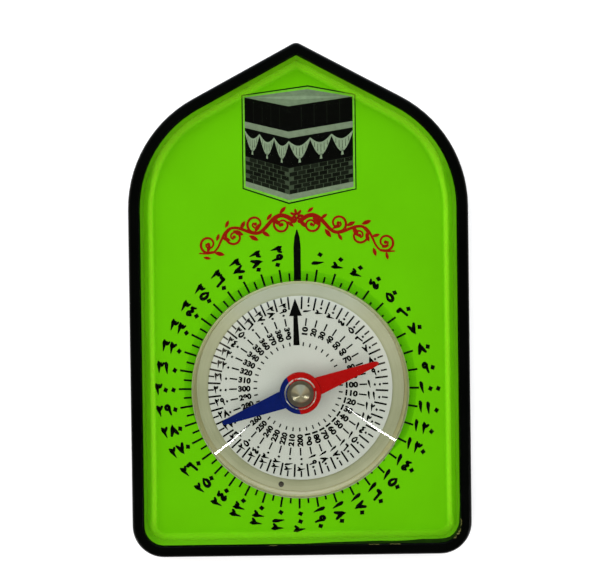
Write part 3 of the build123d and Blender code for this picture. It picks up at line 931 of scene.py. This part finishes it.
up = addNode(courseTree, "ShaderNodeMath", "DIVIDE", {0: row, 1: given["Rows"]})
spot = addNode(courseTree, "ShaderNodeCombineXYZ", None, {"X": across, "Y": up})
points = addNode(courseTree, "GeometryNodePoints", None, {"Count": number, "Position": spot})
solid = addNode(courseTree, "ShaderNodeMath", "SUBTRACT", {0: 1.0, 1: given["Gap"]})
blockWide = addNode(courseTree, "ShaderNodeMath", "DIVIDE", {0: solid, 1: wide})
blockHigh = addNode(courseTree, "ShaderNodeMath", "DIVIDE", {0: solid, 1: given["Rows"]})
size = addNode(courseTree, "ShaderNodeCombineXYZ", None,
               {"X": blockWide, "Y": blockHigh, "Z": given["Height"]})
block = addNode(courseTree, "GeometryNodeMeshCube", None, {"Size": size})
blocks = addNode(courseTree, "GeometryNodeInstanceOnPoints", None, {"Points": points, "Instance": block})
chance = addNode(courseTree, "FunctionNodeRandomValue", {"data_type": "FLOAT"}, {"Seed": 5})
shaded = addNode(courseTree, "GeometryNodeStoreNamedAttribute", {"data_type": "FLOAT", "domain": "INSTANCE"},
                 {"Geometry": blocks, "Name": "shade", "Value": chance})
real = addNode(courseTree, "GeometryNodeRealizeInstances", None, {"Geometry": shaded})
here = addNode(courseTree, "GeometryNodeInputPosition")
parts = addNode(courseTree, "ShaderNodeSeparateXYZ", None, {0: here}).outputs
foot = addNode(courseTree, "ShaderNodeMix", {"data_type": "VECTOR"},
               {"Factor": parts["X"], "A": given["Left Foot"], "B": given["Right Foot"]})
top = addNode(courseTree, "ShaderNodeMix", {"data_type": "VECTOR"},
              {"Factor": parts["X"], "A": given["Left Top"], "B": given["Right Top"]})
fitted = addNode(courseTree, "ShaderNodeMix", {"data_type": "VECTOR"},
                 {"Factor": parts["Y"], "A": foot, "B": top})
raised = addNode(courseTree, "ShaderNodeCombineXYZ", None, {"Z": parts["Z"]})
fitted = addNode(courseTree, "ShaderNodeVectorMath", "ADD", {0: fitted, 1: raised})
wall = addNode(courseTree, "GeometryNodeSetPosition", None, {"Geometry": real, "Position": fitted})
shade = addNode(courseTree, "GeometryNodeInputNamedAttribute", {"data_type": "FLOAT"}, {"Name": "shade"})
tone = addNode(courseTree, "ShaderNodeMix", {"data_type": "RGBA"},
               {"Factor": shade, "A": given["Dark"], "B": given["Light"]})
coloured = addNode(courseTree, "GeometryNodeStoreNamedAttribute",
                   {"data_type": "FLOAT_COLOR", "domain": "CORNER"},
                   {"Geometry": wall, "Name": "ink", "Value": tone})
inked = addNode(courseTree, "GeometryNodeSetMaterial", None,
                {"Geometry": coloured, "Material": given["Material"]})
addNode(courseTree, "NodeGroupOutput", None, {0: inked})

# picture: a draped cube of stone seen past one corner; each upright edge is (x, foot, top)
cube = {"left": (-11.7, 25.5, 45.4), "near": (-1.9, 22.3, 43.3), "right": (12.5, 25.1, 45.3),
        "back": (2.4, 47.1), "border": 0.55, "line": 0.34,
        "foot": 0.06, "stone": 0.34, "band": 0.66, "drape": 0.73,
        "columns": (5, 7), "rows": 6, "gap": 0.1, "roofMargin": 2.2, "swags": 3, "swagSteps": 10,
        "hem": (0.05, 0.19), "brim": (0.03, 0.07), "foldLow": (0.04, 0.17), "foldHigh": (0.04, 0.08),
        "folds": (0.2, 0.35, 0.5, 0.65, 0.8), "foldFoot": 0.007, "foldHead": 0.004,
        "tasselLow": 0.38, "tasselHigh": 0.44, "tasselFoot": 0.02, "tasselHead": 0.008,
        "cords": (0.2, 0.4, 0.6, 0.8), "cordHalf": 0.006, "cordLow": 0.75, "cordHigh": 0.98,
        "outline": "#0a2604", "margin": "#74c430", "roof": "#74876c", "roofLight": "#869a7e",
        "black": "#050605", "bandTone": "#7b8a72", "stoneDark": "#080b06", "stoneLight": "#1c2218",
        "mortar": "#3f4a39", "cloth": "#8b9c82", "fold": "#47533f", "cord": "#171b15"}
flatOn = Matrix.Translation((0, 0, cardTop))


def wallPoint(wall, across, up):
    (x0, foot0, top0), (x1, foot1, top1) = wall
    foot = foot0 + (foot1 - foot0) * across
    return x0 + (x1 - x0) * across, foot + (top0 + (top1 - top0) * across - foot) * up


def wallQuad(wall, middle, lowHalf, highHalf, low, high):
    corners = ((middle - lowHalf, low), (middle + lowHalf, low),
               (middle + highHalf, high), (middle - highHalf, high))
    return [wallPoint(wall, u, v) for u, v in corners]


def swagHeight(share, drop):
    # a garland hangs from the band by its first drop, and sags by its second
    return cube["band"] - drop[0] - drop[1] * sin(pi * share)


def grownOutline(points, grow):
    # pushes each corner away from the middle of the picture
    middle = sum((Vector(p) for p in points), Vector((0, 0))) / len(points)
    return [Vector(p) + (Vector(p) - middle).normalized() * grow for p in points]


def paint(bm, layer, points, tone, level):
    # a flat patch of one of the picture's tones, raised by its level so that it covers those below
    for face in inkPolygon(bm, points, flatOn, film * level):
        for loop in face.loops:
            loop[layer] = linear(cube[tone])


greys = printedGreys()
walls = [(cube["left"], cube["near"]), (cube["near"], cube["right"])]
bm = bmesh.new()
for wall, columns in zip(walls, cube["columns"]):
    feet = []
    for across, up in ((0, cube["foot"]), (1, cube["foot"]), (0, cube["stone"]), (1, cube["stone"])):
        feet.append((*wallPoint(wall, across, up), cardTop + film * 2.5))
    values = {"Columns": columns, "Rows": cube["rows"], "Gap": cube["gap"], "Height": film,
              "Left Foot": feet[0], "Right Foot": feet[1], "Left Top": feet[2], "Right Top": feet[3],
              "Dark": linear(cube["stoneDark"]), "Light": linear(cube["stoneLight"]), "Material": greys}
    bm.from_mesh(growMesh(courseTree, values))
layer = bm.loops.layers.float_color["ink"]
uprights = (cube["left"], cube["near"], cube["right"])
feet = [(x, foot) for x, foot, top in uprights]
tops = [(x, top) for x, foot, top in uprights]
silhouette = feet + [tops[2], cube["back"], tops[0]]
paint(bm, layer, grownOutline(silhouette, cube["border"] + cube["line"]), "outline", 1)
paint(bm, layer, grownOutline(silhouette, cube["border"]), "margin", 1.5)
roof = tops + [cube["back"]]
paint(bm, layer, roof, "roof", 2)
paint(bm, layer, grownOutline(roof, -cube["roofMargin"]), "roofLight", 2.5)
for wall in walls:
    bands = [(0, cube["foot"], "bandTone", 2), (cube["foot"], cube["stone"], "mortar", 2),
             (cube["stone"], 1.0, "black", 2), (cube["band"], cube["drape"], "bandTone", 3)]
    for low, high, tone, level in bands:
        paint(bm, layer, wallQuad(wall, 0.5, 0.5, 0.5, low, high), tone, level)
    # garlands of cloth, each with its folds and a tassel under its middle
    for k in range(cube["swags"]):
        shares = [i / cube["swagSteps"] for i in range(cube["swagSteps"] + 1)]
        hem = [((k + t) / cube["swags"], swagHeight(t, cube["hem"])) for t in shares]
        brim = [((k + t) / cube["swags"], swagHeight(t, cube["brim"])) for t in shares[::-1]]
        paint(bm, layer, [wallPoint(wall, u, v) for u, v in hem + brim], "cloth", 3)
        for t in cube["folds"]:
            fold = wallQuad(wall, (k + t) / cube["swags"], cube["foldFoot"], cube["foldHead"],
                            swagHeight(t, cube["foldLow"]), swagHeight(t, cube["foldHigh"]))
            paint(bm, layer, fold, "fold", 3.5)
        tassel = wallQuad(wall, (k + 0.5) / cube["swags"], cube["tasselFoot"], cube["tasselHead"],
                          cube["tasselLow"], cube["tasselHigh"])
        paint(bm, layer, tassel, "cloth", 3)
    for share in cube["cords"]:
        cord = wallQuad(wall, share, cube["cordHalf"], cube["cordHalf"], cube["cordLow"], cube["cordHigh"])
        paint(bm, layer, cord, "cord", 3)
placePiece("card_picture", bm, greys, "case")
print("picture printed")


# leaves along a waving arc, alternately on each side of the stem
leafShape = {"corners": 14, "reach": 0.6, "lean": 0.75, "smallest": 0.7, "largest": 1.15}
leafTree, given = newTree("vineLeaves", {
    "Count": "Int", "Radius": "Float", "Wave": "Float", "Waves": "Float", "Start": "Float", "End": "Float",
    "Length": "Float", "Width": "Float", "Height": "Float", "Centre": "Vector", "Seed": "Int",
    "Material": "Material"})
index = addNode(leafTree, "GeometryNodeInputIndex")
place = addNode(leafTree, "ShaderNodeMath", "ADD", {0: index, 1: 0.5})
share = addNode(leafTree, "ShaderNodeMath", "DIVIDE", {0: place, 1: given["Count"]})
turn = addNode(leafTree, "ShaderNodeMapRange", None,
               {"Value": share, "To Min": given["Start"], "To Max": given["End"]})
phase = addNode(leafTree, "ShaderNodeMath", "MULTIPLY", {0: share, 1: given["Waves"]})
phase = addNode(leafTree, "ShaderNodeMath", "MULTIPLY", {0: phase, 1: 2 * pi})
swing = addNode(leafTree, "ShaderNodeMath", "SINE", {0: phase})
side = addNode(leafTree, "ShaderNodeMath", "MODULO", {0: index, 1: 2.0})
side = addNode(leafTree, "ShaderNodeMath", "MULTIPLY_ADD", {0: side, 1: 2.0, 2: -1.0})
radius = addNode(leafTree, "ShaderNodeMath", "MULTIPLY_ADD",
                 {0: swing, 1: given["Wave"], 2: given["Radius"]})
half = addNode(leafTree, "ShaderNodeMath", "MULTIPLY", {0: given["Length"], 1: leafShape["reach"]})
radius = addNode(leafTree, "ShaderNodeMath", "MULTIPLY_ADD", {0: side, 1: half, 2: radius})
sine = addNode(leafTree, "ShaderNodeMath", "SINE", {0: turn})
cosine = addNode(leafTree, "ShaderNodeMath", "COSINE", {0: turn})
direction = addNode(leafTree, "ShaderNodeCombineXYZ", None, {"X": sine, "Y": cosine})
spot = addNode(leafTree, "ShaderNodeVectorMath", "SCALE", {0: direction, "Scale": radius})
spot = addNode(leafTree, "ShaderNodeVectorMath", "ADD", {0: spot, 1: given["Centre"]})
points = addNode(leafTree, "GeometryNodePoints", None, {"Count": given["Count"], "Position": spot})
disc = addNode(leafTree, "GeometryNodeMeshCylinder", None,
               {"Vertices": leafShape["corners"], "Radius": 1.0, "Depth": given["Height"]})
here = addNode(leafTree, "GeometryNodeInputPosition")
parts = addNode(leafTree, "ShaderNodeSeparateXYZ", None, {0: here}).outputs
squared = addNode(leafTree, "ShaderNodeMath", "MULTIPLY", {0: parts["Y"], 1: parts["Y"]})
signed = addNode(leafTree, "ShaderNodeMath", "SIGN", {0: parts["Y"]})
pointed = addNode(leafTree, "ShaderNodeMath", "MULTIPLY", {0: squared, 1: signed})
leafX = addNode(leafTree, "ShaderNodeMath", "MULTIPLY", {0: parts["X"], 1: half})
leafY = addNode(leafTree, "ShaderNodeMath", "MULTIPLY", {0: pointed, 1: given["Width"]})
shape = addNode(leafTree, "ShaderNodeCombineXYZ", None, {"X": leafX, "Y": leafY, "Z": parts["Z"]})
leaf = addNode(leafTree, "GeometryNodeSetPosition", None,
               {"Geometry": disc.outputs["Mesh"], "Position": shape})
lean = addNode(leafTree, "ShaderNodeMath", "MULTIPLY", {0: side, 1: leafShape["lean"]})
lean = addNode(leafTree, "ShaderNodeMath", "SUBTRACT", {0: lean, 1: turn})
facing = addNode(leafTree, "ShaderNodeCombineXYZ", None, {"Z": lean})
chance = addNode(leafTree, "FunctionNodeRandomValue", {"data_type": "FLOAT"},
                 {"Min": leafShape["smallest"], "Max": leafShape["largest"], "Seed": given["Seed"]})
leaves = addNode(leafTree, "GeometryNodeInstanceOnPoints", None,
                 {"Points": points, "Instance": leaf, "Rotation": facing, "Scale": chance})
real = addNode(leafTree, "GeometryNodeRealizeInstances", None, {"Geometry": leaves})
inked = addNode(leafTree, "GeometryNodeSetMaterial", None, {"Geometry": real, "Material": given["Material"]})
addNode(leafTree, "NodeGroupOutput", None, {0: inked})

# red band: a vine that runs out on both sides of the pointer, with curls and berries
vine = {"radius": 37.6, "wave": 1.5, "waves": 2.0, "start": 1.0, "end": 35.5, "thick": 1.05, "thin": 0.35,
        "leaves": 15, "leafLength": 2.0, "leafWidth": 0.5, "curls": (0.12, 0.38, 0.62, 0.88), "curlSize": 2.1,
        "curlPoints": 11, "curlTurn": 0.85, "curlShrink": 0.075, "curlThick": 0.62, "curlThinning": 0.025,
        "berry": 0.42, "stemSteps": 16, "heartRise": 1.2, "petals": 7, "petalMiddle": 0.9,
        "petalLength": 0.75, "petalWidth": 0.34, "petalSteps": 10}


def vinePoint(share, side):
    bearing = radians(vine["start"] + (vine["end"] - vine["start"]) * share) * side
    radius = vine["radius"] + vine["wave"] * sin(2 * pi * vine["waves"] * share)
    return printCentre + Vector((sin(bearing), cos(bearing))) * radius


bm = bmesh.new()
for side in (1, -1):
    ends = [radians(vine[key]) * side for key in ("start", "end")]
    values = {"Count": vine["leaves"], "Radius": vine["radius"], "Wave": vine["wave"], "Waves": vine["waves"],
              "Start": ends[0], "End": ends[1], "Length": vine["leafLength"], "Width": vine["leafWidth"],
              "Height": film, "Centre": (printCentre.x, printCentre.y, cardTop + film / 2), "Seed": 3 + side,
              "Material": redInk}
    bm.from_mesh(growMesh(leafTree, values))
    stroke = []
    for i in range(vine["stemSteps"] + 1):
        share = i / vine["stemSteps"]
        spot = vinePoint(share, side)
        stroke.append((spot.x, spot.y, vine["thick"] + (vine["thin"] - vine["thick"]) * share))
    brushStroke(bm, stroke, flatOn, height=film * 1.5)
    for k, share in enumerate(vine["curls"]):
        turn = 1 if k % 2 else -1
        root = vinePoint(share, side)
        outward = (root - printCentre).normalized() * turn
        middle = root + outward * vine["curlSize"]
        curl = []
        for i in range(vine["curlPoints"]):
            arm = -outward * vine["curlSize"] * (1 - vine["curlShrink"] * i)
            spot = middle + Matrix.Rotation(side * turn * i * vine["curlTurn"], 2) @ arm
            curl.append((spot.x, spot.y, vine["curlThick"] - vine["curlThinning"] * i))
        brushStroke(bm, curl, flatOn, height=film * 2)
        berry = [middle + Matrix.Rotation(radians(a), 2) @ Vector((vine["berry"], 0))
                 for a in range(0, 360, 45)]
        inkPolygon(bm, berry, flatOn, film * 2.5)
heart = printCentre + Vector((0, vine["radius"] + vine["heartRise"]))
for k in range(vine["petals"]):
    spin = Matrix.Rotation(2 * pi * k / vine["petals"], 2)
    petal = []
    for i in range(vine["petalSteps"]):
        turn = 2 * pi * i / vine["petalSteps"]
        along = vine["petalMiddle"] + vine["petalLength"] * cos(turn)
        petal.append(heart + spin @ Vector((along, vine["petalWidth"] * sin(turn))))
    inkPolygon(bm, petal, flatOn, film * 2.5)
placePiece("card_vine", bm, redInk, "case")
print("red band printed")


# painted shadow of the capsule: a tinted film that darkens the card round it, all but at the foot
capsuleShade = {"start": 243, "end": 499, "step": 4, "width": 2.3, "thinnest": 0.1, "taper": 24, "height": 0.04,
         "fade": 0.6}
bm = bmesh.new()
ribbon = []
for bearing in range(capsuleShade["start"], capsuleShade["end"] + 1, capsuleShade["step"]):
    ease = min(bearing - capsuleShade["start"], capsuleShade["end"] - bearing) / capsuleShade["taper"]
    wide = capsuleShade["width"] * min(max(ease, capsuleShade["thinnest"]), 1)
    spot = capsule + Vector((sin(radians(bearing)), cos(radians(bearing)))) * (capsuleRadius + wide / 2)
    ribbon.append((spot.x, spot.y, wide))
brushStroke(bm, ribbon, Matrix.Translation((0, 0, cardTop + glue["slack"])), parts=2, height=capsuleShade["height"])
layer = bm.verts.layers.float_color.new("paintedGlowShade")
for vert in bm.verts:
    out = (vert.co.xy - capsule).length - capsuleRadius
    # the painted shadow is darkest at the capsule's edge and fades outward
    vert[layer] = (0, 1 - capsuleShade["fade"] * between(out, 0, capsuleShade["width"]), 0, 1)
paintedCapsuleShadow = clearCement("paintedCapsuleShadow", "#eff5f0", "#9ef53f", 0.0)
placePiece("capsule_shadow_film", bm, paintedCapsuleShadow, "case")

# and set in yellow shreds on the rim, at the lower right corner and along the foot
shred = {"seed": 4, "inset": 2.7, "height": 0.05, "sunk": 0.03, "cornerSteps": 6, "footSteps": 4,
         "cornerWander": 0.2, "footWander": 0.06, "cornerSwell": (0.4, 1.3), "footSwell": (0.5, 1.2),
         "corner": [(-50, -40, 0.16), (-33, -17, 0.24), (-9, 12, 0.13)],
         "foot": [(14.6, 16.8, 0.1), (19.2, 21.4, 0.13), (-7.2, -5.6, 0.1)]}
chance = Random(shred["seed"])
bend = arch["cornerRadius"]
cornerMiddle = Vector((plateWidth / 2 - bend, bend - plateLength / 2))
bm = bmesh.new()
onRim = Matrix.Translation((0, 0, trayHigh.z - shred["sunk"]))
for start, end, wide in shred["corner"]:
    stroke = []
    for k in range(shred["cornerSteps"] + 1):
        turn = radians(start + (end - start) * k / shred["cornerSteps"])
        out = bend - shred["inset"] + chance.uniform(-shred["cornerWander"], shred["cornerWander"])
        spot = cornerMiddle + Vector((cos(turn), sin(turn))) * out
        stroke.append((spot.x, spot.y, wide * chance.uniform(*shred["cornerSwell"])))
    brushStroke(bm, stroke, onRim, height=shred["height"])
for start, end, wide in shred["foot"]:
    stroke = []
    for k in range(shred["footSteps"] + 1):
        y = shred["inset"] - plateLength / 2 + chance.uniform(-shred["footWander"], shred["footWander"])
        x = start + (end - start) * k / shred["footSteps"]
        stroke.append((x, y, wide * chance.uniform(*shred["footSwell"])))
    brushStroke(bm, stroke, onRim, height=shred["height"])
dried = plainFinish("driedCement", "#8a8648", "#2e3610", 0.5, 0.45)
placePiece("cement_shreds", bm, dried, "case")

# a dark green stroke darkens the window's edge from the middle of the foot round that corner; widths at equal
# steps
darkEdge = {"start": -6.0, "end": -44.0, "height": 0.03, "swell": (0.8, 1.2),
         "widths": (0.08, 0.14, 0.2, 0.3, 0.4, 0.46, 0.52, 0.56, 0.6, 0.66, 0.8, 0.84, 0.7, 0.42, 0.24, 0.08)}
footRun = cornerMiddle.x - darkEdge["start"]
bendRun = (bend - tray["rimWidth"]) * pi / 2
wholeRun = footRun + bendRun + darkEdge["end"] - cornerMiddle.y
bm = bmesh.new()
stroke = []
for k, wide in enumerate(darkEdge["widths"]):
    run = wholeRun * k / (len(darkEdge["widths"]) - 1)
    turn = radians(-90 + 90 * between(run, footRun, footRun + bendRun))
    spot = cornerMiddle + Vector((cos(turn), sin(turn))) * (bend - tray["rimWidth"] - wide / 2)
    spot += Vector((min(run - footRun, 0), max(run - footRun - bendRun, 0)))
    stroke.append((spot.x, spot.y, wide * chance.uniform(*darkEdge["swell"])))
brushStroke(bm, stroke, Matrix.Translation((0, 0, windowHigh.z + glue["slack"])), height=darkEdge["height"])
darkEdgeInk = screenInk("darkEdgeTint", "#1c3c06", "#081404")
placePiece("dark_window_edge", bm, darkEdgeInk, "case")
print("crept cement made")


# studio: white floor, a dim room that is pale low down, most so in the north, a broad hidden panel overhead,
# and two strip lamps, each with a fainter upper length
studio = {"floor": 4000.0, "floorDrop": 0.05, "floorTone": "#ececec", "floorLift": 0.3, "dim": 0.012,
          "lowEnd": (0.44, 0.58), "north": 0.65, "northTone": "#d6e6f8", "northFrom": (0.4, 0.85),
          "band": 0.6, "bandTone": "#fff3da", "bandFrom": (-0.3, 0.3),
          "south": 0.42, "southEnd": (-0.8, -0.4), "southTop": (0.06, 0.18),
          "panelPower": 8.3, "panelSize": 1200.0, "panelPlace": (-80.0, 150.0, 600.0),
          "stripPower": 0.6, "stripDistance": 450.0, "stripWidth": 6.0,
          "strips": [((-39.4, 0.0), (-37.4, 240.0), 1.0), ((-37.4, 240.0), (-35.0, 540.0), 0.3),
                     ((225.8, 0.0), (224.9, 180.0), 1.0), ((224.9, 180.0), (224.1, 340.0), 0.3)]}
bm = bmesh.new()
bmesh.ops.create_grid(bm, x_segments=4, y_segments=4, size=studio["floor"] / 2 * mm)
floorMesh = bpy.data.meshes.new("floor")
bm.to_mesh(floorMesh)
bm.free()
floor = bpy.data.objects.new("floor", floorMesh)
floor.location.z = -studio["floorDrop"] * mm
scene.collection.objects.link(floor)
paper, tree = newMaterial("whitePaperSweep")[:2]
path = addNode(tree, "ShaderNodeLightPath").outputs
seen = addNode(tree, "ShaderNodeMath", "MAXIMUM", {0: path["Is Camera Ray"], 1: path["Is Glossy Ray"]})
seen = addNode(tree, "ShaderNodeMath", "MAXIMUM", {0: seen, 1: path["Is Transmission Ray"]})
lift = addNode(tree, "ShaderNodeMath", "MULTIPLY", {0: seen, 1: studio["floorLift"]})
glow = addNode(tree, "ShaderNodeEmission", None, {"Strength": lift})
matt = addNode(tree, "ShaderNodeBsdfDiffuse", None, {"Color": linear(studio["floorTone"])})
sheet = addNode(tree, "ShaderNodeAddShader", None, {0: matt, 1: glow})
addNode(tree, "ShaderNodeOutputMaterial", None, {"Surface": sheet})
floorMesh.materials.append(paper)

scene.world = bpy.data.worlds.new("tent")
scene.world.use_nodes = True
tree = scene.world.node_tree
tree.nodes.clear()
towards = addNode(tree, "ShaderNodeTexCoord").outputs["Generated"]
sky = addNode(tree, "ShaderNodeSeparateXYZ", None, {0: towards}).outputs


def fade(value, limits, start, end):
    # goes softly from start to end while the value passes between its limits
    values = {"Value": value, "From Min": limits[0], "From Max": limits[1], "To Min": start, "To Max": end}
    return addNode(tree, "ShaderNodeMapRange", {"interpolation_type": "SMOOTHSTEP"}, values)


low = fade(sky["Z"], studio["lowEnd"], 1.0, 0.0)
north = fade(sky["Y"], studio["northFrom"], 0.0, 1.0)
band = fade(sky["Y"], studio["bandFrom"], 0.0, studio["band"])
lowest = fade(sky["Z"], studio["southTop"], 1.0, 0.0)
south = fade(sky["Y"], studio["southEnd"], studio["south"], 0.0)
pale = addNode(tree, "ShaderNodeMath", "MULTIPLY_ADD", {0: north, 1: studio["north"], 2: band})
level = addNode(tree, "ShaderNodeMath", "MULTIPLY_ADD", {0: low, 1: pale, 2: studio["dim"]})
level = addNode(tree, "ShaderNodeMath", "MULTIPLY_ADD", {0: lowest, 1: south, 2: level})
tone = addNode(tree, "ShaderNodeMix", {"data_type": "RGBA"},
               {"Factor": north, "A": linear(studio["bandTone"]), "B": linear(studio["northTone"])})
tent = addNode(tree, "ShaderNodeBackground", None, {"Color": tone, "Strength": level})
addNode(tree, "ShaderNodeOutputWorld", None, {"Surface": tent})


def addLamp(name, place, target, up, width, height, power, mirrored):
    lamp = bpy.data.lights.new(name, "AREA")
    lamp.shape = "RECTANGLE"
    lamp.size = width * mm
    lamp.size_y = height * mm
    lamp.energy = power
    holder = bpy.data.objects.new(name, lamp)
    holder.location = Vector(place) * mm
    holder.rotation_euler = aimed(place, target, up).to_euler()
    holder.visible_camera = False
    holder.visible_glossy = mirrored
    holder.visible_transmission = mirrored
    scene.collection.objects.link(holder)


addLamp("overheadPanel", studio["panelPlace"], (0, 0, 0), (0, 1, 0), studio["panelSize"], studio["panelSize"],
        studio["panelPower"], False)
for low, high, strength in studio["strips"]:
    # a leaning strip between two ends, each an azimuth and a height; its power is for a metre of it
    ends = []
    for azimuth, height in (low, high):
        out = Vector((cos(radians(azimuth)), sin(radians(azimuth)))) * studio["stripDistance"]
        ends.append(Vector((capsule.x + out.x, capsule.y + out.y, height)))
    middle = (ends[0] + ends[1]) / 2
    along = ends[1] - ends[0]
    power = studio["stripPower"] * strength * along.length * mm
    addLamp("stripLamp", middle, (capsule.x, capsule.y, middle.z), along, studio["stripWidth"], along.length,
            power, True)
print("studio lit")
